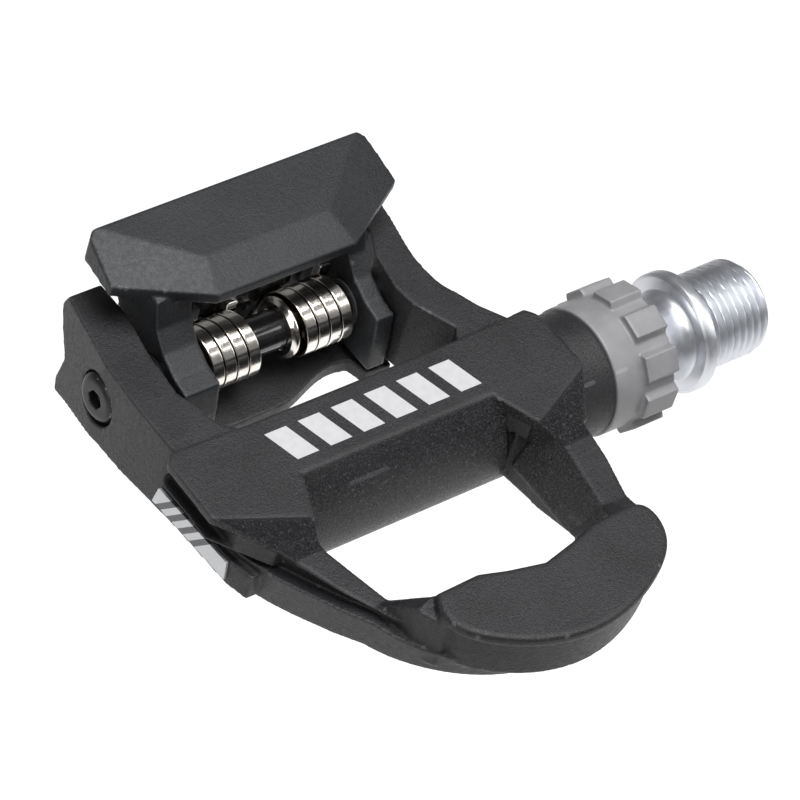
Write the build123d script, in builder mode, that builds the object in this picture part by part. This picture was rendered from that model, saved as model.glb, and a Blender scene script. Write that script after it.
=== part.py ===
from build123d import *
from math import cos, pi, sin
import os

os.makedirs("parts", exist_ok=True)

# Frame: origin on the spindle axis at the collar's crank face, +X away from the crank,
# +Y towards the toe, +Z up. All lengths are millimetres.

# Platform
MID = 56.8                # centre line of the platform
DECK_TOP = 9.8
DECK_LOW = 5.4
ARM_TOP = 9.0
PAD_TOP = 15.9
PAD_THICK = 1.6
BARREL_R = 9.4
BARREL_END = 76.0          # full radius ends here and a cone closes the barrel
BARREL_CLOSE = 81.5
BOSS_START = 19.6
FLOOR_TOP = -5.6
FLOOR_THICK = 2.4
PLATE_SEAT = 29.3          # side lip, measured from the centre line
EJECTOR_R = 1.65
EJECTOR_DEPTH = 0.15
PLATE_THICK = 0.4

# Spindle
THREAD_R = 7.144          # 9/16 inch pedal thread, major diameter
THREAD_LEN = 11.8
FLANGE_R = 8.95
FLANGE_LEN = 2.4
NECK_END = 9.2
JOURNAL_R = 5.0
JOURNAL_END = 31.0
SHANK_R = 4.2
SHANK_END = 57.6
TIP_R = 3.0
TIP_END = 74.6
HEX_SOCKET = 8.0
HEX_DEPTH = 9.0
RUN_GAP = 0.05            # radial clearance of a running fit

# Lock sleeve
SLEEVE_START = 9.0
SLEEVE_R = 9.5
TOOTH_R = 10.5
TOOTH_LEN = 5.6
TOOTH_COUNT = 10
SLEEVE_SHANK_R = 8.1
SLEEVE_END = 30.0
BUSH_R = 6.3

# Outboard bearings, 6 x 13 x 5
RACE_R = 6.5
BEARING_W = 5.0
BEARING_A = 58.0
BEARING_B = 63.6
BALL_R = 0.95
BALL_RING_R = 4.75
BALL_COUNT = 8

# Latch and its pivot
PIVOT_Y = -24.0
PIVOT_Z = 1.5
PIN_R = 2.9
PIN_IN = -20.6
PIN_OUT = 26.4
LATCH_BORE_R = 3.6
SCREW_SEAT_R = 3.95
LATCH_ARM_IN = 13.5
LATCH_ARM_OUT = 16.5
LATCH_ARM_WIDE = 19.4      # outer side of the outboard arm
LATCH_UNDER = 13.4
COIL_R = 4.9
COIL_WIRE = 1.45
COIL_PITCH = 2.05
COIL_BAND = 1.82
COIL_TURNS = 4
COIL_START = 3.0
SCREW_Z = 0.6
SCREW_R = 2.0              # M4 tension screw and the shanks of the pin's end screws
END_HEAD_R = 3.75
END_HEAD_LEN = 2.2
END_SHANK_LEN = 8.0


def at(*points):
    """Plan points given from the platform's centre line, moved to the part's own frame."""
    return [(MID + u, y) for u, y in points]


def drafted(points, factor):
    """The same run drawn in towards the platform's middle, more and more from the deck to the claw."""
    moved = []
    for x, y in points:
        share = min(max((y + 8) / 23, 0), 1)
        local = 1 - (1 - factor) * share
        moved.append((MID + (x - MID) * local, y * local))
    return moved


def both(points):
    """A run of plan points followed by its mirror image, to close a symmetric outline."""
    return points + [(-u, y) for u, y in reversed(points)]


def facet(low, high, side):
    """Plane through three points given from the centre line, facing up."""
    a, b, c = (Vector(MID + p[0], p[1], p[2]) for p in (low, high, side))
    normal = (b - a).cross(c - a).normalized()
    if normal.Z < 0:
        normal = normal * -1
    return Plane(origin=a, x_dir=(b - a).normalized(), z_dir=normal)


def along_x(x, y=0.0, z=0.0):
    """Plane facing +X, with its origin at the given point and its own x along +Y."""
    return Plane(origin=(x, y, z), x_dir=(0, 1, 0), z_dir=(1, 0, 0))


def finish(piece, name):
    piece.part.label = name
    export_step(piece.part, f"parts/{name}.step")


# ---------------------------------------------------------------- pedal body

# Outer wall of the frame in plan: outboard rear arm, side, claw, side, inboard rear arm.
OUT_SIDE = at((25.6, -37.6), (28.4, -24), (29.1, -16), (29.3, -8), (29.6, 5),
              (29.6, 9), (28.6, 15.2), (27.2, 18.6), (24.7, 24.9), (22.6, 29))
IN_SIDE = at((-23.6, 27), (-25.4, 20.5), (-26.4, 14.4), (-28.8, 5), (-28.6, -6), (-25.6, -10.5), (-23.4, -16))
CLAW_RUN = at((22.6, 29), (20.0, 35.4), (12.4, 42.8), (0, 45.6), (-12.4, 42.8), (-20.6, 35.4), (-23.6, 27))
ARM_RUN = at((-23.4, -16), (-23.0, -20.5), (-24.2, -27.5), (-25.2, -32.5))
REAR = at((-25.2, -37.6), (25.6, -37.6))

# Side view of the frame: y, z round the arms and the claw.
SIDE_VIEW = [(-36.4, 8.3), (-24, 8.5), (-9, ARM_TOP), (26.5, ARM_TOP), (38.5, 12.6), (47, 13.8),
             (47, 7.6), (40, 5.6), (26, 1.6), (17, -0.9), (9, -2.2), (-8, -2.8), (-21, -4.8), (-30, -6.6),
             (-34.2, -7.8), (-34.6, -5.6), (-33.6, -1.0), (-36.0, 2.8), (-37.4, 6.0)]

# Side view of the groove between arm tops and apron, and how far the groove's bed lies inside the wall.
GROOVE_VIEW = [(2, 3.6), (9, 4.2), (17.5, 5.6), (23.5, 6.9), (29, 8.0), (36, 8.8), (48, 9.6),
               (48, 10.3), (36, 9.5), (29, 8.7), (17.5, 8.2), (9, 7.9), (2, 7.9)]
SHELF_VIEW = [(7, 7.8), (17.5, 8.1), (29, 8.6), (36, 9.4), (48, 10.2), (48, 15), (7, 15)]
GROOVE_INSET = 0.925
SHELF_INSET = 0.95
GROOVE_SPAN = 17.0

# Space inside the two rear arms.
BAY = at((20.3, -40), (20.3, -31), (21.9, -22.8), (22.6, -15.5), (20.8, -8.6), (18.4, -6.2), (-18.4, -6.2),
         (-19.9, -8.4), (-18.6, -11.4), (-17.2, -14.6), (-16.9, -18.4), (-18.2, -24.6), (-20.3, -28.8),
         (-20.3, -40))

# Front opening between the barrel and the claw.
WINDOW_TOP = at((20.9, 0), (20.9, 16), (18.4, 26.0), (15.4, 30.6), (9.6, 31.8), (5.6, 33.0), (0, 34.2),
                (-5.6, 33.0), (-9.6, 31.8), (-15.4, 30.6), (-18.6, 26.0), (-21.2, 12), (-21.2, 0))
WINDOW_LOW = at((17.6, 0), (17.6, 14), (17.4, 24.0), (14.2, 29.2), (9.2, 31.2), (5.4, 32.6), (0, 33.6),
                (-5.4, 32.6), (-9.2, 31.2), (-14.2, 29.2), (-17.3, 24.6), (-17.6, 13), (-17.6, 0))

DECK = at(*both([(18.2, -6.1), (30.4, -6.6), (31.6, -5.2), (31.9, 5.0), (26.6, 12.8), (20.9, 14.8),
                 (16.8, 5.4)]))

# Claw plate outline, clockwise from its inboard rear corner.
PAD_REAR = at((-16.6, 31.4), (-9.6, 31.8), (-5.6, 33.0), (0, 34.2), (5.6, 33.0), (9.6, 31.8), (16.6, 32.0))
PAD_FRONT = at((16.6, 32.0), (17.9, 36.8), (12.6, 42.6), (0, 46.2), (-12.6, 42.6), (-18.9, 36.0), (-18.6, 32.4),
               (-16.6, 31.4))
PAD_CENTRE = (MID, 38.5)


def frame_outline(height, factor):
    """Sketch of the frame's outer wall at one height."""
    with BuildSketch(Plane.XY.offset(height)) as outline:
        with BuildLine():
            Polyline(*drafted(OUT_SIDE, factor))
            Spline(*drafted(CLAW_RUN, factor))
            Polyline(*drafted(IN_SIDE, factor))
            Spline(*ARM_RUN)
            Polyline(ARM_RUN[-1], *REAR)
        make_face()
    return outline.sketch


def claw_outline(height, factor):
    """Sketch of the claw plate at one height, scaled about the plate's middle."""
    def scaled(points):
        return [(PAD_CENTRE[0] + (x - PAD_CENTRE[0]) * factor, PAD_CENTRE[1] + (y - PAD_CENTRE[1]) * factor)
                for x, y in points]
    with BuildSketch(Plane.XY.offset(height)) as outline:
        with BuildLine():
            Polyline(*scaled(PAD_REAR))
            Spline(*scaled(PAD_FRONT))
        make_face()
    return outline.sketch


with BuildPart() as deck_block:
    with BuildSketch(Plane.XY.offset(DECK_LOW)):
        with BuildLine():
            Polyline(*DECK, close=True)
        make_face()
    extrude(amount=DECK_TOP - DECK_LOW)
    cuts = [facet((side * 21.4, 9.7, DECK_TOP), (side * 31.9, 5.0, DECK_TOP), (side * 26.6, 12.8, 8.6))
            for side in (1, -1)]
    for plane in cuts:
        with Locations(plane):
            Box(60, 60, 6, align=(Align.CENTER, Align.CENTER, Align.MIN), mode=Mode.SUBTRACT)
    # Bevel along the front recess.
    with BuildSketch(along_x(MID - 16.6)):
        Polygon((3.9, DECK_TOP), (5.8, 7.2), (9, 7.2), (9, DECK_TOP + 1), (3.9, DECK_TOP + 1), align=None)
    extrude(amount=33.2, mode=Mode.SUBTRACT)
    # Undercut that leaves the deck a thin overhanging edge on both sides.
    for side in (1, -1):
        with Locations((MID + side * 31.9, -0.5, 6.9)):
            Box(4.6, 30, 2.8, mode=Mode.SUBTRACT)

# Lower lip on the outboard side that carries the nameplate.
with BuildPart() as side_lip:
    with BuildSketch(Plane.XY.offset(-4)):
        with BuildLine():
            Polyline(*at((24, -11), (28.8, -11), (PLATE_SEAT, -8.8), (PLATE_SEAT, 8.8), (28.6, 12), (24, 12)),
                     close=True)
        make_face()
    extrude(amount=10)
    with BuildSketch(along_x(MID + 20)):
        Polygon((-12, -2.7), (12, -1.1), (12, 3.2), (-12, 1.6), align=None)
    extrude(amount=12, mode=Mode.INTERSECT)

# Groove that runs round both arms and the claw, between the arm tops and the lower apron.
with BuildPart() as frame_block:
    loft([frame_outline(-12, 0.84), frame_outline(14, 1.0)], ruled=True)

groove_bed = Pos(MID * (1 - GROOVE_INSET), 0, 0) * scale(frame_block.part, by=(GROOVE_INSET, GROOVE_INSET, 1))

shelf_bed = Pos(MID * (1 - SHELF_INSET), 0, 0) * scale(frame_block.part, by=(SHELF_INSET, SHELF_INSET, 1))

with BuildPart() as groove_band:
    with BuildSketch(along_x(MID - GROOVE_SPAN)):
        Polygon(*GROOVE_VIEW, align=None)
    extrude(amount=GROOVE_SPAN + 35)
    add(groove_bed, mode=Mode.SUBTRACT)

with BuildPart() as shelf_band:
    with BuildSketch(along_x(MID - GROOVE_SPAN)):
        Polygon(*SHELF_VIEW, align=None)
    extrude(amount=GROOVE_SPAN + 35)
    add(shelf_bed, mode=Mode.SUBTRACT)

with BuildPart() as pedal_body:
    add(frame_block.part)
    with BuildSketch(along_x(MID - 35)):
        with BuildLine():
            Polyline(*SIDE_VIEW, close=True)
        make_face()
    extrude(amount=70, mode=Mode.INTERSECT)
    add(groove_band.part, mode=Mode.SUBTRACT)
    add(shelf_band.part, mode=Mode.SUBTRACT)

    # Shoulders that rise from the arms to the claw.
    with BuildSketch(Plane.XY.offset(6)):
        with BuildLine():
            Polyline(*at(*both([(19.9, 26.4), (19.3, 33.0), (17.6, 36.4), (12.4, 38)])), close=True)
        make_face()
    extrude(amount=8.2)
    with Locations(facet((-10, 26.4, ARM_TOP), (10, 26.4, ARM_TOP), (0, 31.6, 13.6))):
        Box(60, 20, 8, align=(Align.CENTER, Align.MIN, Align.MIN), mode=Mode.SUBTRACT)

    # Claw plate on its block.
    add(claw_outline(8.0, 0.93))
    extrude(amount=PAD_TOP - PAD_THICK - 8.0 + 0.2)
    add(claw_outline(PAD_TOP - PAD_THICK, 1.0))
    extrude(amount=PAD_THICK)
    fillet(pedal_body.faces().sort_by(Axis.Z)[-1].edges(), radius=0.7)
    # Ring marks left by the mould's ejectors.
    for spot, height in (((MID - 0.9, 37.9), PAD_TOP), ((MID + 21.5, 20.1), ARM_TOP)):
        with BuildSketch(Plane(origin=(*spot, height))):
            Circle(EJECTOR_R)
            Circle(EJECTOR_R - 0.3, mode=Mode.SUBTRACT)
        extrude(amount=-EJECTOR_DEPTH, mode=Mode.SUBTRACT)

    # Openings.
    with BuildSketch(Plane.XY.offset(-14)):
        with BuildLine():
            Polyline(*BAY, close=True)
        make_face()
    extrude(amount=30, mode=Mode.SUBTRACT)
    with BuildSketch(Plane.XY.offset(-14)):
        with BuildLine():
            Polyline(*WINDOW_LOW, close=True)
        make_face()
    extrude(amount=30, mode=Mode.SUBTRACT)
    for height, outline in ((1.5, WINDOW_LOW), (ARM_TOP, WINDOW_TOP)):
        with BuildSketch(Plane.XY.offset(height)):
            with BuildLine():
                Polyline(*outline, close=True)
            make_face()
    loft(ruled=True, mode=Mode.SUBTRACT)
    with BuildSketch(Plane.XY.offset(ARM_TOP)):
        with BuildLine():
            Polyline(*WINDOW_TOP, close=True)
        make_face()
    extrude(amount=7, mode=Mode.SUBTRACT)

    # Slot under the claw plate that takes the cleat's nose.
    with BuildSketch(Plane.XY.offset(9.2)):
        with BuildLine():
            Polyline(*at(*both([(12, 27), (12, 34.4), (7, 37.4)])), close=True)
        make_face()
    extrude(amount=4.4, mode=Mode.SUBTRACT)

    # Barrel round the spindle, with its boss towards the crank.
    with BuildSketch(along_x(BOSS_START)):
        Circle(BARREL_R - 0.15)
    extrude(amount=8)
    with BuildSketch(along_x(BOSS_START + 6)):
        Circle(BARREL_R)
    extrude(amount=BARREL_END - BOSS_START - 6)
    with BuildSketch(along_x(BARREL_END)):
        Circle(BARREL_R)
    with BuildSketch(along_x(BARREL_CLOSE)):
        Circle(3.2)
    loft()

    # Deck with its corner facets and the bevel down to the barrel.
    add(deck_block.part)

    add(side_lip.part)

    # Floor under the springs, with its stepped front edge.
    with BuildSketch(Plane.XY.offset(FLOOR_TOP - FLOOR_THICK)):
        with BuildLine():
            Polyline(*at((-20.5, -29.5), (21.9, -29.5), (22.6, -17.0), (12.0, -16.4), (0.6, -16.6)))
            Spline(*at((0.6, -16.6), (-2.8, -17.3), (-6.2, -18.6), (-13.6, -19.2)))
            Polyline(*at((-13.6, -19.2), (-14.4, -16.4), (-18.6, -16.0), (-20.5, -29.5)))
        make_face()
    extrude(amount=FLOOR_THICK)

    # Bores: lock sleeve, bearings, latch pin and the end screws' seats.
    with BuildSketch(along_x(BOSS_START - 1)):
        Circle(SLEEVE_SHANK_R)
    extrude(amount=SLEEVE_END - BOSS_START + 1.3, mode=Mode.SUBTRACT)
    with BuildSketch(along_x(SLEEVE_END)):
        Circle(RACE_R)
    extrude(amount=TIP_END + 1.4 - SLEEVE_END, mode=Mode.SUBTRACT)
    with BuildSketch(along_x(MID - 30, PIVOT_Y, PIVOT_Z)):
        Circle(PIN_R)
    extrude(amount=60, mode=Mode.SUBTRACT)
    with BuildSketch(along_x(MID + PIN_OUT, PIVOT_Y, PIVOT_Z)):
        Circle(SCREW_SEAT_R)
    extrude(amount=6, mode=Mode.SUBTRACT)
    with BuildSketch(along_x(MID + PIN_IN, PIVOT_Y, PIVOT_Z)):
        Circle(SCREW_SEAT_R)
    extrude(amount=-6, mode=Mode.SUBTRACT)

finish(pedal_body, "pedal_body")

# ---------------------------------------------------------------- nameplate on the outboard side

with BuildPart() as side_plate:
    with BuildSketch(along_x(MID + PLATE_SEAT)):
        Polygon((-7.9, -1.6), (8.3, -0.5), (7.9, 2.5), (-7.3, 1.5), align=None)
    extrude(amount=PLATE_THICK)

finish(side_plate, "side_plate")

# ---------------------------------------------------------------- spindle

with BuildPart() as spindle:
    with BuildSketch(Plane.XZ):
        with BuildLine():
            Polyline((-THREAD_LEN, 0), (-THREAD_LEN, THREAD_R - 0.9), (-THREAD_LEN + 0.9, THREAD_R), (0, THREAD_R),
                     (0, FLANGE_R - 0.5), (0.5, FLANGE_R), (FLANGE_LEN - 0.5, FLANGE_R),
                     (FLANGE_LEN, FLANGE_R - 0.5), (FLANGE_LEN, 6.6))
            Spline((FLANGE_LEN, 6.6), (4.4, 6.2), (6.6, 7.1), (NECK_END, 7.9), tangents=[(1, -0.4), (1, 0.05)])
            Polyline((NECK_END, 7.9), (NECK_END + 0.6, 7.9), (NECK_END + 0.6, 6.0), (BOSS_START + 0.2, 6.0),
                     (BOSS_START + 0.2, JOURNAL_R), (JOURNAL_END, JOURNAL_R), (JOURNAL_END + 1, SHANK_R),
                     (SHANK_END, SHANK_R), (SHANK_END, 3.9), (BEARING_A, 3.9), (BEARING_A, TIP_R),
                     (TIP_END - 0.5, TIP_R), (TIP_END, TIP_R - 0.5), (TIP_END, 0), (-THREAD_LEN, 0))
        make_face()
    revolve(axis=Axis.X)
    with BuildSketch(along_x(-THREAD_LEN)):
        RegularPolygon(HEX_SOCKET / 2, 6, major_radius=False)
    extrude(amount=HEX_DEPTH, mode=Mode.SUBTRACT)

finish(spindle, "spindle")

# ---------------------------------------------------------------- lock sleeve, seal and inboard bush

with BuildPart() as lock_sleeve:
    with BuildSketch(along_x(SLEEVE_START)):
        Circle(SLEEVE_R)
    extrude(amount=BOSS_START - 0.1 - SLEEVE_START)
    with BuildSketch(along_x(BOSS_START - 0.2)):
        Circle(SLEEVE_SHANK_R)
    extrude(amount=SLEEVE_END - BOSS_START + 0.2)
    with BuildSketch(along_x(SLEEVE_START)):
        with PolarLocations(SLEEVE_R, TOOTH_COUNT, start_angle=2):
            Polygon((-1, -2.5), (TOOTH_R - SLEEVE_R, -1.8), (TOOTH_R - SLEEVE_R, 1.8), (-1, 2.5), align=None)
    extrude(amount=TOOTH_LEN)
    with BuildSketch(along_x(SLEEVE_START)):
        Circle(8.3)
    extrude(amount=4.2, mode=Mode.SUBTRACT)
    with BuildSketch(along_x(SLEEVE_START)):
        Circle(BUSH_R)
    extrude(amount=SLEEVE_END - SLEEVE_START, mode=Mode.SUBTRACT)

finish(lock_sleeve, "lock_sleeve")

with BuildPart() as lip_seal:
    with BuildSketch(Plane.XZ):
        Polygon((10.4, 6.1), (12.6, 6.1), (12.6, 8.3), (9.95, 8.3), (9.95, 8.0), (10.4, 7.0), align=None)
    revolve(axis=Axis.X)

finish(lip_seal, "lip_seal")


def ring(name, start, length, outer, inner):
    """A plain turned ring on the spindle's axis."""
    with BuildPart() as piece:
        with BuildSketch(along_x(start)):
            Circle(outer)
            Circle(inner, mode=Mode.SUBTRACT)
        extrude(amount=length)
    finish(piece, name)


ring("inboard_bush", BOSS_START + 0.6, SLEEVE_END - BOSS_START - 0.8, BUSH_R, JOURNAL_R + RUN_GAP)
ring("bearing_spacer", SLEEVE_END + 0.1, BEARING_A - SLEEVE_END - 0.1, RACE_R, JOURNAL_R + 0.4)
ring("race_spacer", BEARING_A + BEARING_W, BEARING_B - BEARING_A - BEARING_W, RACE_R, 5.4)
ring("inner_spacer", BEARING_A + BEARING_W, BEARING_B - BEARING_A - BEARING_W, 3.9, TIP_R)
ring("lock_washer", BEARING_B + BEARING_W, 0.8, 4.3, TIP_R)

# ---------------------------------------------------------------- outboard bearings


def bearing(start, suffix):
    """Outer race, inner race, cage and balls of one deep-groove bearing."""
    middle = start + BEARING_W / 2

    groove = Pos(middle, 0, 0) * Rot(0, 90, 0) * Torus(BALL_RING_R, BALL_R + RUN_GAP)

    with BuildPart() as outer:
        with BuildSketch(along_x(start)):
            Circle(RACE_R)
            Circle(5.5, mode=Mode.SUBTRACT)
        extrude(amount=BEARING_W)
        add(groove, mode=Mode.SUBTRACT)
    finish(outer, "outer_race_" + suffix)

    with BuildPart() as inner:
        with BuildSketch(along_x(start)):
            Circle(4.0)
            Circle(TIP_R, mode=Mode.SUBTRACT)
        extrude(amount=BEARING_W)
        add(groove, mode=Mode.SUBTRACT)
    finish(inner, "inner_race_" + suffix)

    with BuildPart() as cage:
        with BuildSketch(along_x(middle - 1.2)):
            Circle(5.1)
            Circle(4.4, mode=Mode.SUBTRACT)
        extrude(amount=2.4)
        for n in range(BALL_COUNT):
            turn = 2 * pi * n / BALL_COUNT
            with Locations((middle, BALL_RING_R * cos(turn), BALL_RING_R * sin(turn))):
                Sphere(BALL_R + RUN_GAP, mode=Mode.SUBTRACT)
    finish(cage, "ball_cage_" + suffix)

    with BuildPart() as balls:
        for n in range(BALL_COUNT):
            turn = 2 * pi * n / BALL_COUNT
            with Locations((middle, BALL_RING_R * cos(turn), BALL_RING_R * sin(turn))):
                Sphere(BALL_R)
    finish(balls, "balls_" + suffix)


bearing(BEARING_A, "a")
bearing(BEARING_B, "b")

with BuildPart() as spindle_nut:
    with BuildSketch(along_x(BEARING_B + BEARING_W + 0.8)):
        RegularPolygon(5.0, 6, major_radius=False)
        Circle(TIP_R, mode=Mode.SUBTRACT)
    extrude(amount=3.4)

finish(spindle_nut, "spindle_nut")

# ---------------------------------------------------------------- latch

LATCH_PLAN = at(*both([(22.6, -38.6), (23.6, -37.6), (24.4, -30.6), (11.6, -23.2)]))
LATCH_ARM = [(-36.4, 14), (-36.8, 11.4), (-33.4, 7.0), (-30.4, 0.6), (-27.4, -2.6), (-23.0, -4.2), (-15.6, -4.2),
             (-15.9, 0.2), (-16.7, 5.0), (-19.8, 5.6), (-22.8, 7.2), (-25.2, 9.8), (-26.4, 14)]

with BuildPart() as latch:
    with BuildSketch(Plane.XY.offset(LATCH_UNDER)):
        with BuildLine():
            Polyline(*LATCH_PLAN, close=True)
        make_face()
    extrude(amount=5)
    cuts = [facet((-10, -28.5, 17.0), (10, -28.5, 17.0), (0, -38.4, 18.1)),
            facet((-11, -28.5, 17.0), (11, -28.5, 17.0), (0, -23.4, 15.1))]
    cuts += [facet((side * 22.2, -38.2, 18.0), (side * 10.6, -28.5, 17.0), (side * 11.8, -23.4, 15.1))
             for side in (1, -1)]
    for plane in cuts:
        with Locations(plane):
            Box(120, 120, 8, align=(Align.CENTER, Align.CENTER, Align.MIN), mode=Mode.SUBTRACT)
    for start, end in ((LATCH_ARM_IN, LATCH_ARM_WIDE), (-LATCH_ARM_OUT, -LATCH_ARM_IN)):
        with BuildSketch(along_x(MID + start)):
            with BuildLine():
                Polyline(*LATCH_ARM, close=True)
            make_face()
        extrude(amount=end - start)
    # Rear bar that ties the arms and holds the tension screw.
    with BuildSketch(along_x(MID - LATCH_ARM_IN - 1)):
        Polygon((-35.4, 4.6), (-35.4, -2.6), (-32.4, -3.6), (-32.4, 4.2), (-33.4, 5.4), (-34.6, 5.4), align=None)
    extrude(amount=2 * LATCH_ARM_IN + 2)
    for side in (1, -1):
        with BuildSketch(along_x(MID + side * (LATCH_ARM_IN + 2) - 2)):
            Polygon((-35.4, 5.4), (-35.4, -2.6), (-31.0, -3.4), (-29.0, 3.0), (-33.0, 9.0), (-36.0, 11.0),
                    align=None)
        extrude(amount=4)
    with BuildSketch(along_x(MID - 30, PIVOT_Y, PIVOT_Z)):
        Circle(LATCH_BORE_R)
    extrude(amount=60, mode=Mode.SUBTRACT)
    with BuildSketch(Plane(origin=(MID, -30, SCREW_Z), z_dir=(0, -1, 0))):
        Circle(SCREW_R + RUN_GAP)
    extrude(amount=8, mode=Mode.SUBTRACT)

finish(latch, "latch")

with BuildPart() as latch_bushes:
    for start, end in ((LATCH_ARM_IN - 0.2, LATCH_ARM_WIDE), (-LATCH_ARM_OUT, -LATCH_ARM_IN + 0.2)):
        with BuildSketch(along_x(MID + start, PIVOT_Y, PIVOT_Z)):
            Circle(LATCH_BORE_R)
            Circle(PIN_R + RUN_GAP, mode=Mode.SUBTRACT)
        extrude(amount=end - start)

finish(latch_bushes, "latch_bushes")

with BuildPart() as pivot_pin:
    with BuildSketch(along_x(MID + PIN_IN, PIVOT_Y, PIVOT_Z)):
        Circle(PIN_R)
    extrude(amount=PIN_OUT - PIN_IN)
    chamfer(pivot_pin.faces().sort_by(Axis.X)[0].edges() + pivot_pin.faces().sort_by(Axis.X)[-1].edges(), 0.3)
    with BuildSketch(along_x(MID + PIN_IN, PIVOT_Y, PIVOT_Z)):
        Circle(SCREW_R)
    extrude(amount=END_SHANK_LEN + 1, mode=Mode.SUBTRACT)
    with BuildSketch(along_x(MID + PIN_OUT, PIVOT_Y, PIVOT_Z)):
        Circle(SCREW_R)
    extrude(amount=-END_SHANK_LEN - 1, mode=Mode.SUBTRACT)

finish(pivot_pin, "pivot_pin")

with BuildPart() as pivot_screws:
    for face, way in ((PIN_OUT, 1), (PIN_IN, -1)):
        with BuildSketch(along_x(MID + face, PIVOT_Y, PIVOT_Z)):
            Circle(END_HEAD_R)
        extrude(amount=END_HEAD_LEN * way)
        with BuildSketch(along_x(MID + face, PIVOT_Y, PIVOT_Z)):
            Circle(SCREW_R)
        extrude(amount=-END_SHANK_LEN * way)
    fillet(pivot_screws.faces().sort_by(Axis.X)[0].edges() + pivot_screws.faces().sort_by(Axis.X)[-1].edges(), 1.3)
    for face, way in ((PIN_OUT, 1), (PIN_IN, -1)):
        with BuildSketch(along_x(MID + face + END_HEAD_LEN * way, PIVOT_Y, PIVOT_Z)):
            RegularPolygon(1.25, 6, major_radius=False)
        extrude(amount=-1.5 * way, mode=Mode.SUBTRACT)

finish(pivot_screws, "pivot_screws")

# ---------------------------------------------------------------- springs


def spring(side, name):
    """Torsion coil of flat wire round the pin, with one leg up to the latch and one down to the floor."""
    radius = COIL_R - COIL_WIRE / 2
    length = COIL_PITCH * COIL_TURNS
    with BuildPart() as coil:
        with BuildLine():
            turns = Helix(pitch=COIL_PITCH, height=length, radius=radius, lefthand=side < 0)
        with BuildSketch(Plane(origin=turns @ 0, x_dir=(1, 0, 0), z_dir=turns % 0)):
            Rectangle(COIL_WIRE, COIL_BAND)
        sweep(path=turns, is_frenet=True)
        with Locations((radius, -side * 2.2, 0)):
            Box(COIL_WIRE, 4.4, COIL_BAND)
        with Locations((radius, side * 3.4, length)):
            Box(COIL_WIRE, 6.8, COIL_BAND)
    start = MID + side * (COIL_START + COIL_BAND / 2)
    placed = Plane(origin=(start, PIVOT_Y, PIVOT_Z), x_dir=(0, -1, 0), z_dir=(side, 0, 0)).location * coil.part
    placed.label = name
    export_step(placed, f"parts/{name}.step")


spring(1, "spring_outboard")
spring(-1, "spring_inboard")

with BuildPart() as coil_collar:
    with BuildSketch(Plane.XZ):
        Polygon((MID - 2.85, PIN_R + RUN_GAP), (MID - 2.85, 4.5), (MID - 2.4, 4.5), (MID - 1.9, 3.9),
                (MID - 1.9, PIN_R + RUN_GAP), align=None)
    revolve(axis=Axis.X)

ring_part = Pos(0, PIVOT_Y, PIVOT_Z) * coil_collar.part
ring_part.label = "coil_collar"
export_step(ring_part, "parts/coil_collar.step")

# ---------------------------------------------------------------- tension adjuster

with BuildPart() as tension_screw:
    with BuildSketch(Plane(origin=(MID, -36.0, SCREW_Z), z_dir=(0, 1, 0))):
        Circle(SCREW_R)
    extrude(amount=5.6)
    with BuildSketch(Plane(origin=(MID, -36.0, SCREW_Z), z_dir=(0, -1, 0))):
        Circle(3.4)
    extrude(amount=2.4)
    with BuildSketch(Plane(origin=(MID, -38.4, SCREW_Z), z_dir=(0, 1, 0))):
        RegularPolygon(1.5, 6, major_radius=False)
    extrude(amount=1.8, mode=Mode.SUBTRACT)

finish(tension_screw, "tension_screw")

with BuildPart() as tension_plate:
    with BuildSketch(Plane(origin=(MID, -31.3, 1.4), x_dir=(1, 0, 0), z_dir=(0, 1, 0))):
        RectangleRounded(16, 8.4, 1.0)
    extrude(amount=2.1)
    with BuildSketch(Plane(origin=(MID, -33, SCREW_Z), z_dir=(0, 1, 0))):
        Circle(SCREW_R + RUN_GAP)
    extrude(amount=5, mode=Mode.SUBTRACT)

finish(tension_plate, "tension_plate")
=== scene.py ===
from math import cos, pi, radians, sin, tau

import bmesh
import bpy
from mathutils import Matrix, Vector


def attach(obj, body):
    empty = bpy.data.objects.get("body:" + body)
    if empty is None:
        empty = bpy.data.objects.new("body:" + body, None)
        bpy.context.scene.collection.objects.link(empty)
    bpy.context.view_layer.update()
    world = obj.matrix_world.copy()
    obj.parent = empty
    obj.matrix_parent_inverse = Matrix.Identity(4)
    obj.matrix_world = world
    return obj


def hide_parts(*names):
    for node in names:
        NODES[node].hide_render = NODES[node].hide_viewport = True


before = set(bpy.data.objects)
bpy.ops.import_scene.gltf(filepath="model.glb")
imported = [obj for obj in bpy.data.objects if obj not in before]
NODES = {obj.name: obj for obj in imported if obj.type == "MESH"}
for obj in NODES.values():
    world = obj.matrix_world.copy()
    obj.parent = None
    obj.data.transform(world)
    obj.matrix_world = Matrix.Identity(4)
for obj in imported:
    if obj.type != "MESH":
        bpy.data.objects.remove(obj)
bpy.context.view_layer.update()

MM = 0.001

# Millimetres from here on; MM turns them into metres.
MID = 56.8                # centre line of the platform
DECK_TOP = 9.8
PIVOT_Y, PIVOT_Z = -24.0, 1.5       # axis of the latch pin
COIL_R = 4.9              # outer radius of a spring
COIL_WIRE, COIL_BAND = 1.45, 1.80   # radial and axial size of its flat wire
COIL_PITCH, COIL_TURNS = 2.05, 4
COIL_START = 3.91         # middle of the first band, from the centre line


# ---------------------------------------------------------------- node helpers

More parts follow.
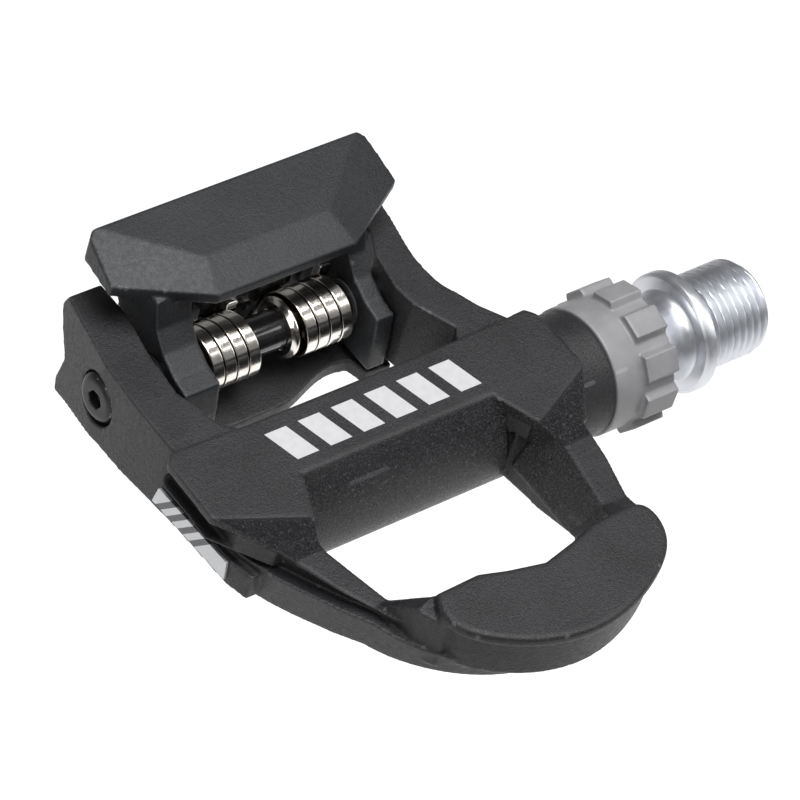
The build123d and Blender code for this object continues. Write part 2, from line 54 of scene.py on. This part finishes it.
class Graph:
    """A thin wrapper round one material's node tree."""

    def __init__(self, name):
        self.material = bpy.data.materials.new(name)
        self.material.use_nodes = True
        self.tree = self.material.node_tree
        self.tree.nodes.clear()
        self.out = self.tree.nodes.new("ShaderNodeOutputMaterial")
        self.shader = self.tree.nodes.new("ShaderNodeBsdfPrincipled")
        self.link(self.shader.outputs[0], self.out.inputs[0])
        coords = self.tree.nodes.new("ShaderNodeTexCoord")
        scale = self.tree.nodes.new("ShaderNodeMapping")
        scale.inputs["Scale"].default_value = (1000, 1000, 1000)
        self.link(coords.outputs["Object"], scale.inputs["Vector"])
        self.mm = scale.outputs[0]          # position in millimetres

    def link(self, a, b):
        self.tree.links.new(a, b)

    def feed(self, socket, value):
        if isinstance(value, (int, float)):
            socket.default_value = value
        elif isinstance(value, (tuple, list)):
            socket.default_value = tuple(value) + (1,) * (len(socket.default_value) - len(value))
        else:
            self.link(value, socket)

    def math(self, operation, a, b=0.0, c=0.0):
        node = self.tree.nodes.new("ShaderNodeMath")
        node.operation = operation
        for socket, value in zip(node.inputs, (a, b, c)):
            self.feed(socket, value)
        return node.outputs[0]

    def axis(self, index):
        node = self.tree.nodes.new("ShaderNodeSeparateXYZ")
        self.link(self.mm, node.inputs[0])
        return node.outputs[index]

    def stretched(self, scale):
        node = self.tree.nodes.new("ShaderNodeMapping")
        node.inputs["Scale"].default_value = scale
        self.link(self.mm, node.inputs["Vector"])
        return node.outputs[0]

    def noise(self, scale, detail=2.0, roughness=0.5, vector=None):
        node = self.tree.nodes.new("ShaderNodeTexNoise")
        node.inputs["Scale"].default_value = scale
        node.inputs["Detail"].default_value = detail
        node.inputs["Roughness"].default_value = roughness
        self.link(vector or self.mm, node.inputs["Vector"])
        return node.outputs["Fac"]

    def ramp(self, value, low, high, to_low=0.0, to_high=1.0, smooth=True):
        node = self.tree.nodes.new("ShaderNodeMapRange")
        node.interpolation_type = "SMOOTHSTEP" if smooth else "LINEAR"
        self.feed(node.inputs["Value"], value)
        node.inputs["From Min"].default_value = low
        node.inputs["From Max"].default_value = high
        node.inputs["To Min"].default_value = to_low
        node.inputs["To Max"].default_value = to_high
        return node.outputs["Result"]

    def between(self, value, low, high, soft=0.3):
        """1 where low < value < high, with soft ends."""
        above = self.ramp(value, low - soft, low + soft)
        below = self.ramp(value, high - soft, high + soft, 1, 0)
        return self.math("MULTIPLY", above, below)

    def mix(self, factor, a, b):
        node = self.tree.nodes.new("ShaderNodeMix")
        node.data_type = "RGBA"
        self.feed(node.inputs["Factor"], factor)
        self.feed(node.inputs[6], a)
        self.feed(node.inputs[7], b)
        return node.outputs[2]

    def product(self, *values):
        total = values[0]
        for value in values[1:]:
            total = self.math("MULTIPLY", total, value)
        return total

    def edges(self, low=0.515, high=0.575):
        """Grows towards 1 on convex edges."""
        node = self.tree.nodes.new("ShaderNodeNewGeometry")
        return self.ramp(node.outputs["Pointiness"], low, high)

    def bump(self, height, distance_mm, strength=1.0, under=None):
        node = self.tree.nodes.new("ShaderNodeBump")
        node.inputs["Strength"].default_value = strength
        node.inputs["Distance"].default_value = distance_mm * MM
        self.link(height, node.inputs["Height"])
        if under is not None:
            self.link(under, node.inputs["Normal"])
        return node.outputs[0]

    def finish(self, colour, roughness, normal=None, metallic=0.0, specular=0.5, coat=0.0):
        self.feed(self.shader.inputs["Base Color"], colour)
        self.feed(self.shader.inputs["Roughness"], roughness)
        self.shader.inputs["Metallic"].default_value = metallic
        self.shader.inputs["Specular IOR Level"].default_value = specular
        self.shader.inputs["Coat Weight"].default_value = coat
        self.shader.inputs["Coat Roughness"].default_value = 0.1
        if normal is not None:
            self.link(normal, self.shader.inputs["Normal"])
        return self.material


# ---------------------------------------------------------------- materials

def nylon(name, dark, light, zones=False, gloss=0.42, grain_depth=0.11):
    """Black moulded nylon: fine grain all over, painted highlights on its convex edges, coarse spark texture
    in the zones with painted glints in the colour.
    """
    g = Graph(name)
    x, y, z = g.axis(0), g.axis(1), g.axis(2)
    grain = g.noise(3.6, 4.0, 0.62)
    fleck = g.noise(1.5, 2.0)
    cloud = g.noise(0.12, 2.0)
    tone = g.math("ADD", g.product(grain, 0.7), g.product(cloud, 0.3))
    colour = g.mix(g.ramp(tone, 0.36, 0.64, smooth=False), dark, light)
    # Painted highlight: convex edges made paler in the colour.
    colour = g.mix(g.product(g.edges(), 0.7), colour, [c * 3.4 for c in light])
    rough = g.ramp(fleck, 0.3, 0.7, gloss - 0.05, gloss + 0.08, smooth=False)
    normal = g.bump(grain, grain_depth, 1.0, g.bump(fleck, 0.05, 0.6))
    if zones:
        u = g.math("ABSOLUTE", g.math("SUBTRACT", x, MID))
        # Barrel bar and bevel, the deck's corner facets, and the inner side of the inboard arm.
        bar = g.product(g.ramp(u, 17.2, 17.8, 1, 0), g.between(y, 4.1, 11.5),
                        g.ramp(z, 9.4, 9.75, 1, 0))
        corner = g.product(g.between(u, 16.5, 32.5), g.between(y, 5.5, 15.5),
                           g.between(z, 8.2, 9.66, 0.08))
        inner = g.product(g.between(x, 34.6, 40.0, 0.2), g.between(y, 10.5, 29),
                          g.between(z, 1.0, 8.8, 0.15))
        zone = g.math("MAXIMUM", g.math("MAXIMUM", bar, corner), inner)
        spark = g.noise(3.3, 3.0, 0.65)
        # Painted glints: pale flecks of the spark texture in the zones' colour. Its bump and roughness below
        # are the real texture.
        colour = g.mix(g.product(zone, g.ramp(spark, 0.52, 0.7)), colour, [c * 3.6 for c in light])
        rough = g.math("ADD", rough, g.product(zone, -0.12))
        normal = g.bump(g.product(zone, spark), 0.9, 1.0, normal)
    return g.finish(colour, rough, normal, specular=0.34)


def satin_metal(name, colour, roughness, ring_scale=9.0, ring_depth=0.004):
    """Turned and plated steel: fine rings round the X axis, faint clouding."""
    g = Graph(name)
    rings = g.noise(1.0, 3.0, 0.6, g.stretched((ring_scale, 0.05, 0.05)))
    cloud = g.noise(0.5, 3.0)
    speck = g.noise(6.0, 2.0)
    shade = g.math("ADD", g.product(rings, 0.35), g.product(cloud, 0.65))
    tint = g.mix(g.ramp(shade, 0.3, 0.7, smooth=False), [c * 0.86 for c in colour], colour)
    broad = g.ramp(cloud, 0.3, 0.7, roughness - 0.05, roughness + 0.05, smooth=False)
    rough = g.math("ADD", broad, g.product(speck, 0.06))
    normal = g.bump(rings, ring_depth, 0.6, g.bump(speck, 0.006, 0.4))
    return g.finish(tint, rough, normal, metallic=1.0)


def nickel(name):
    """Bright nickel plate with a warm cast, drawn along the wire."""
    g = Graph(name)
    draw = g.noise(1.0, 3.0, 0.6, g.stretched((7.0, 0.8, 0.8)))
    cloud = g.noise(0.8, 2.0)
    tint = g.mix(g.ramp(cloud, 0.35, 0.7), (0.90, 0.87, 0.83), (0.80, 0.75, 0.68))
    rough = g.ramp(draw, 0.3, 0.7, 0.13, 0.2, smooth=False)
    # Painted shade: dark brown between the bands, inside the coil's outer face.
    across = g.math("SUBTRACT", g.axis(1), PIVOT_Y)
    above = g.math("SUBTRACT", g.axis(2), PIVOT_Z)
    reach = g.math("SQRT", g.math("ADD", g.product(across, across), g.product(above, above)))
    tint = g.mix(g.ramp(reach, 4.55, 4.80, 1, 0), tint, (0.30, 0.21, 0.14))
    return g.finish(tint, rough, g.bump(draw, 0.0015, 0.3), metallic=1.0)


def smooth_plastic(name, dark, light, gloss, grain_depth=0.02):
    """Smooth moulded plastic or rubber with a faint grain and painted highlights on its edges."""
    g = Graph(name)
    grain = g.noise(6.0, 3.0, 0.6)
    cloud = g.noise(0.3, 2.0)
    tone = g.math("ADD", g.product(grain, 0.4), g.product(cloud, 0.6))
    colour = g.mix(g.ramp(tone, 0.3, 0.7, smooth=False), dark, light)
    # Painted highlight: convex edges made paler in the colour.
    colour = g.mix(g.product(g.edges(), 0.4), colour, [min(c * 1.5, 1) for c in light])
    rough = g.ramp(cloud, 0.3, 0.7, gloss - 0.04, gloss + 0.06, smooth=False)
    return g.finish(colour, rough, g.bump(grain, grain_depth, 0.6), specular=0.5)


def black_metal(name, level, roughness, coat=0.0):
    """Blackened steel with painted grey highlights on its edges."""
    g = Graph(name)
    grain = g.noise(5.0, 3.0)
    cloud = g.noise(0.7, 2.0)
    low = (level, level, level * 1.05)
    colour = g.mix(g.ramp(cloud, 0.3, 0.7), low, [c * 1.7 for c in low])
    # Painted highlight: convex edges lifted to grey in the colour.
    colour = g.mix(g.product(g.edges(0.52, 0.6), 0.5), colour, (0.25, 0.25, 0.25))
    rough = g.ramp(grain, 0.3, 0.7, roughness - 0.04, roughness + 0.06, smooth=False)
    return g.finish(colour, rough, g.bump(grain, 0.008, 0.5), metallic=0.6, coat=coat)


def foil(name):
    """Brushed silver foil of the nameplate, with plain darker bars."""
    g = Graph(name)
    y, z = g.axis(1), g.axis(2)
    brush = g.noise(1.0, 3.0, 0.7, g.stretched((1.0, 0.6, 14.0)))
    slant = g.math("ADD", y, g.product(z, -0.8))
    stripe = g.math("FRACT", g.product(slant, 0.42))
    bars = g.product(g.ramp(stripe, 0.50, 0.55), g.between(slant, -6.0, 3.4, 0.05))
    colour = g.mix(g.ramp(brush, 0.3, 0.7), (0.52, 0.53, 0.55), (0.62, 0.63, 0.64))
    colour = g.mix(bars, colour, (0.12, 0.12, 0.125))
    rough = g.ramp(brush, 0.3, 0.7, 0.36, 0.5, smooth=False)
    return g.finish(colour, rough, g.bump(brush, 0.01, 0.5), metallic=0.55)


def ink(name):
    """Pale printed ink, slightly broken by the grain under it."""
    g = Graph(name)
    grain = g.noise(7.0, 3.0, 0.6)
    cloud = g.noise(0.9, 2.0)
    colour = g.mix(g.ramp(cloud, 0.3, 0.7), (0.40, 0.40, 0.41), (0.43, 0.43, 0.44))
    colour = g.mix(g.ramp(grain, 0.66, 0.85), colour, (0.36, 0.36, 0.37))
    rough = g.ramp(grain, 0.3, 0.7, 0.5, 0.6, smooth=False)
    return g.finish(colour, rough, g.bump(grain, 0.012, 0.5), specular=0.3)


BODY = nylon("nylon_body", (0.006, 0.006, 0.007), (0.022, 0.022, 0.024), zones=True)
LATCH = nylon("nylon_latch", (0.008, 0.009, 0.010), (0.019, 0.020, 0.023), gloss=0.42, grain_depth=0.07)
SLEEVE = smooth_plastic("sleeve_plastic", (0.165, 0.163, 0.168), (0.215, 0.212, 0.22), 0.42)
BUSH = smooth_plastic("bush_plastic", (0.04, 0.04, 0.042), (0.06, 0.06, 0.062), 0.35)
RUBBER = smooth_plastic("seal_rubber", (0.012, 0.012, 0.012), (0.022, 0.022, 0.022), 0.62, 0.03)
STEEL = satin_metal("spindle_steel", (0.70, 0.715, 0.75), 0.34)
RACE = satin_metal("race_steel", (0.62, 0.62, 0.63), 0.2, 4.0)
TUBE = satin_metal("alloy_tube", (0.70, 0.71, 0.72), 0.3, 3.0)
BALL = satin_metal("ball_steel", (0.82, 0.82, 0.84), 0.1, 1.0, 0.001)
NICKEL = nickel("spring_nickel")
COLLAR = satin_metal("collar_nickel", (0.86, 0.82, 0.77), 0.16, 3.0)
PIN = black_metal("pin_black", 0.012, 0.14, 1.0)
SCREW = black_metal("screw_black", 0.02, 0.34)
FOIL = foil("plate_foil")
INK = ink("bar_ink")

FINISH = {
    "pedal_body": BODY, "latch": LATCH, "lock_sleeve": SLEEVE, "side_plate": FOIL, "lip_seal": RUBBER,
    "inboard_bush": BUSH, "latch_bushes": BUSH, "ball_cage_a": BUSH, "ball_cage_b": BUSH,
    "bearing_spacer": TUBE, "race_spacer": TUBE, "inner_spacer": RACE, "lock_washer": RACE,
    "outer_race_a": RACE, "outer_race_b": RACE, "inner_race_a": RACE, "inner_race_b": RACE,
    "balls_a": BALL, "balls_b": BALL, "spindle_nut": RACE, "spindle": STEEL, "pivot_pin": PIN,
    "pivot_screws": SCREW, "tension_screw": SCREW, "tension_plate": RACE, "coil_collar": COLLAR,
    "spring_outboard": NICKEL, "spring_inboard": NICKEL,
}
for name, material in FINISH.items():
    mesh = NODES[name].data
    mesh.materials.clear()
    mesh.materials.append(material)


# ---------------------------------------------------------------- mesh helpers

def soften(name, voxel_mm, passes):
    """Rounds a moulded node's edges: even remesh, then smoothing."""
    piece = NODES[name]
    remesh = piece.modifiers.new("even", "REMESH")
    remesh.mode = "VOXEL"
    remesh.voxel_size = voxel_mm * MM
    remesh.use_smooth_shade = True
    smooth = piece.modifiers.new("round", "SMOOTH")
    smooth.factor = 0.5
    smooth.iterations = passes


def break_edges(name):
    """Takes the sharpness off a small node's edges."""
    piece = NODES[name]
    piece.modifiers.new("weld", "WELD").merge_threshold = 0.002 * MM
    bevel = piece.modifiers.new("bevel", "BEVEL")
    bevel.width = 0.12 * MM
    bevel.segments = 2
    bevel.limit_method = "ANGLE"
    bevel.angle_limit = radians(40)


def add_piece(name, mesh_maker, material, body, smooth=True):
    """A new piece from a function that fills a bmesh, in metres."""
    bm = bmesh.new()
    mesh_maker(bm)
    bmesh.ops.recalc_face_normals(bm, faces=bm.faces)
    mesh = bpy.data.meshes.new(name)
    bm.to_mesh(mesh)
    bm.free()
    for face in mesh.polygons:
        face.use_smooth = smooth
    mesh.materials.append(material)
    piece = bpy.data.objects.new(name, mesh)
    bpy.context.scene.collection.objects.link(piece)
    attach(piece, body)
    return piece


def skin(bm, rings):
    """Quads between equal rings of points; a fan closes each end at its mean."""
    loops = [[bm.verts.new(p) for p in ring] for ring in rings]
    count = len(loops[0])
    for a, b in zip(loops, loops[1:]):
        for i in range(count):
            j = (i + 1) % count
            bm.faces.new((a[i], a[j], b[j], b[i]))
    for loop in (loops[0], loops[-1]):
        hub = bm.verts.new(sum((v.co for v in loop), Vector()) / count)
        for i in range(count):
            bm.faces.new((loop[i], loop[(i + 1) % count], hub))


# ---------------------------------------------------------------- spindle with its real thread

SIDES = 96
PITCH = 1.27                            # 20 threads to the inch
THREAD_OUT, THREAD_IN = 7.12, 6.2       # radii at crest and root
THREAD_TIP, THREAD_SPAN = -11.6, 11.5   # where it starts, and how far it runs to the flange
LEAD_IN_R, RUN_OUT_R = 6.25, 6.45


def hexagon(turn, across):
    """Radius of a hexagon's edge in one direction."""
    step = pi / 3
    return across / 2 / cos((turn % step) - step / 2)


def spindle_mesh(bm):
    rings = []

    def ring(x, radius):
        points = []
        for i in range(SIDES):
            turn = tau * i / SIDES
            r = radius(turn) if callable(radius) else radius
            points.append((x * MM, r * cos(turn) * MM, r * sin(turn) * MM))
        rings.append(points)

    ring(-3.0, 1.0)
    ring(-3.0, lambda t: hexagon(t, 8.0) - 0.02)
    ring(-11.2, lambda t: hexagon(t, 8.0))
    ring(-11.45, lambda t: hexagon(t, 8.0) + 0.05)
    ring(-11.72, 4.95)
    ring(-11.78, 5.2)
    ring(-11.78, 6.0)
    ring(-11.7, 6.2)

    steps = 150
    for k in range(steps + 1):
        x = THREAD_TIP + THREAD_SPAN * k / steps

        def radius(turn, x=x):
            phase = (x / PITCH - turn / tau) % 1.0
            flank = abs(phase - 0.5) * 2                     # 0 at the crest, 1 at the root
            level = min(max((flank - 0.14) / 0.72, 0), 1)
            r = THREAD_OUT + (THREAD_IN - THREAD_OUT) * level
            lead = min(max((x - THREAD_TIP) / 1.1, 0), 1)
            run_out = min(max((-0.25 - x) / 0.9, 0), 1)
            r = LEAD_IN_R + (r - LEAD_IN_R) * lead
            return RUN_OUT_R + (r - RUN_OUT_R) * run_out
        ring(x, radius)

    ring(-0.02, RUN_OUT_R)
    ring(0.0, 6.6)
    profile = [(0.0, 8.45), (0.1, 8.62), (0.42, 8.92), (0.55, 8.95), (1.85, 8.95), (1.98, 8.92), (2.32, 8.6),
               (2.4, 8.4), (2.4, 6.98), (2.46, 6.72), (2.7, 6.5), (3.1, 6.36), (3.7, 6.26), (4.4, 6.28),
               (5.1, 6.45), (5.8, 6.76), (6.5, 7.1), (7.3, 7.42), (8.2, 7.68), (9.2, 7.86), (9.75, 7.88),
               (9.8, 7.8), (9.8, 6.0), (19.7, 5.98), (19.8, 4.98), (31.0, 4.98), (32.0, 4.2), (57.6, 4.2),
               (57.6, 3.9), (58.0, 3.9), (58.0, 2.99), (74.1, 2.99), (74.55, 2.5)]
    for x, r in profile:
        ring(x, r)
    skin(bm, rings)


spindle = add_piece("spindle_turned", spindle_mesh, STEEL, "spindle")
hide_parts("spindle")
spindle.modifiers.new("split", "EDGE_SPLIT").split_angle = radians(28)


# ---------------------------------------------------------------- springs of flat wire

def spring_mesh(side):
    """Closed coil of rounded flat wire with an upper and a lower leg."""
    wire, band, pitch, turns, corner = COIL_WIRE, COIL_BAND, COIL_PITCH, COIL_TURNS, 0.13
    radius = COIL_R - wire / 2
    start = MID + side * COIL_START
    section = []
    for sx, sy, first in ((1, 1, 0), (-1, 1, 90), (-1, -1, 180), (1, -1, 270)):
        arc = [radians(first + 22.5 * k) for k in range(5)]
        middle = (sx * (wire / 2 - corner), sy * (band / 2 - corner))
        points = [(middle[0] + corner * cos(t), middle[1] + corner * sin(t)) for t in arc]
        # A point on the flat just before and after each corner keeps the flats' shading flat.
        before = (points[0][0] + 0.04 * sin(arc[0]), points[0][1] - 0.04 * cos(arc[0]))
        after = (points[-1][0] - 0.04 * sin(arc[-1]), points[-1][1] + 0.04 * cos(arc[-1]))
        section += [before, *points, after]

    def place(x, y, z):
        # Local axes of the coil: its x points to the rear, its z along the pin away from the middle.
        return (start + side * z, PIVOT_Y - x, PIVOT_Z + y * side)

    def fill(bm):
        rings = []

        def cut(centre, out, up):
            ring = []
            for a, b in section:
                p = [centre[i] + out[i] * a + up[i] * b for i in range(3)]
                ring.append(tuple(c * MM for c in place(*p)))
            rings.append(ring)
        for back in (4.4, 2.4, 0.6):
            cut((radius, back, 0), (1, 0, 0), (0, 0, 1))
        steps = 96 * turns
        for k in range(steps + 1):
            turn = -tau * turns * k / steps
            height = pitch * turns * k / steps
            cut((radius * cos(turn), radius * sin(turn), height), (cos(turn), sin(turn), 0), (0, 0, 1))
        for ahead in (0.8, 3.0, 4.6, 4.9):
            cut((radius, -ahead, pitch * turns), (1, 0, 0), (0, 0, 1))
        skin(bm, rings)
    return fill


for side, name in ((1, "spring_outboard"), (-1, "spring_inboard")):
    coil = add_piece(name + "_wire", spring_mesh(side), NICKEL, "platform")
    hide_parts(name)


# ---------------------------------------------------------------- edges of moulded and small nodes

soften("pedal_body", 0.21, 7)
soften("latch", 0.24, 4)
soften("lock_sleeve", 0.2, 3)
soften("pivot_screws", 0.12, 3)
for name in ("pivot_pin", "coil_collar", "tension_screw", "tension_plate", "side_plate"):
    break_edges(name)


# ---------------------------------------------------------------- printed bars on the deck

def bars_mesh(bm):
    """A row of plain slanted bars, a hair above the deck."""
    low, high = DECK_TOP + 0.004, DECK_TOP + 0.03
    front, rear = 1.9, -3.6
    wide, slant, step, count = 3.6, 1.6, 5.6, 6
    for k in range(count):
        left = MID - 16.2 + step * k
        right = left + wide
        corners = [(left, front), (right, front), (right + slant, rear), (left + slant, rear)]
        rings = [[(x * MM, y * MM, z * MM) for x, y in corners] for z in (low, high)]
        a, b = ([bm.verts.new(p) for p in ring] for ring in rings)
        bm.faces.new(a)
        bm.faces.new(b)
        for i in range(4):
            bm.faces.new((a[i], a[(i + 1) % 4], b[(i + 1) % 4], b[i]))


add_piece("deck_bars", bars_mesh, INK, "platform", smooth=False)


# ---------------------------------------------------------------- floor, light and camera

def floor_mesh():
    bm = bmesh.new()
    bmesh.ops.create_grid(bm, x_segments=24, y_segments=24, size=1.6)
    mesh = bpy.data.meshes.new("floor")
    bm.to_mesh(mesh)
    bm.free()
    return mesh


paper = Graph("paper")
paper_grain = paper.noise(0.4, 4.0)
paper_tone = paper.mix(paper.ramp(paper_grain, 0.3, 0.7), (0.975,) * 3, (0.985,) * 3)
paper.finish(paper_tone, 0.9, specular=0.0)
ground = bpy.data.objects.new("floor", floor_mesh())
ground.data.materials.append(paper.material)
ground.location = (0.05, 0, -0.22)
bpy.context.scene.collection.objects.link(ground)

world = bpy.data.worlds.new("studio")
world.use_nodes = True
world.node_tree.nodes["Background"].inputs["Color"].default_value = (1, 1, 1, 1)
world.node_tree.nodes["Background"].inputs["Strength"].default_value = 0.20
bpy.context.scene.world = world

TARGET = Vector((MID, 0, 5)) * MM


def softbox(name, place, size, power):
    data = bpy.data.lights.new(name, "AREA")
    data.shape = "RECTANGLE"
    data.size, data.size_y = size
    data.energy = power
    lamp = bpy.data.objects.new(name, data)
    lamp.location = place
    lamp.rotation_euler = (TARGET - Vector(place)).to_track_quat("-Z", "Y").to_euler()
    bpy.context.scene.collection.objects.link(lamp)


softbox("top_light", (0.02, 0.05, 0.75), (0.6, 0.6), 9.6)
softbox("toe_light", (0.55, 0.1, 0.25), (0.25, 0.4), 0.9)
softbox("crank_light", (-0.45, 0.3, 0.35), (0.25, 0.4), 0.9)

camera_data = bpy.data.cameras.new("camera")
camera = bpy.data.objects.new("camera", camera_data)
RIGHT, UP, BACK = (-0.7747, 0.5890, 0.2298), (-0.3185, -0.6776, 0.6629), (0.5462, 0.4404, 0.7126)
PLACE = (0.41335, 0.28999, 0.47996)
camera.matrix_world = Matrix([[RIGHT[i], UP[i], BACK[i], PLACE[i]] for i in range(3)] + [[0, 0, 0, 1]])
camera_data.sensor_width = 36
camera_data.lens = 221.8185
camera_data.clip_start = 0.05
camera_data.clip_end = 20
bpy.context.scene.collection.objects.link(camera)
bpy.context.scene.camera = camera

bpy.context.scene.view_settings.view_transform = "Standard"
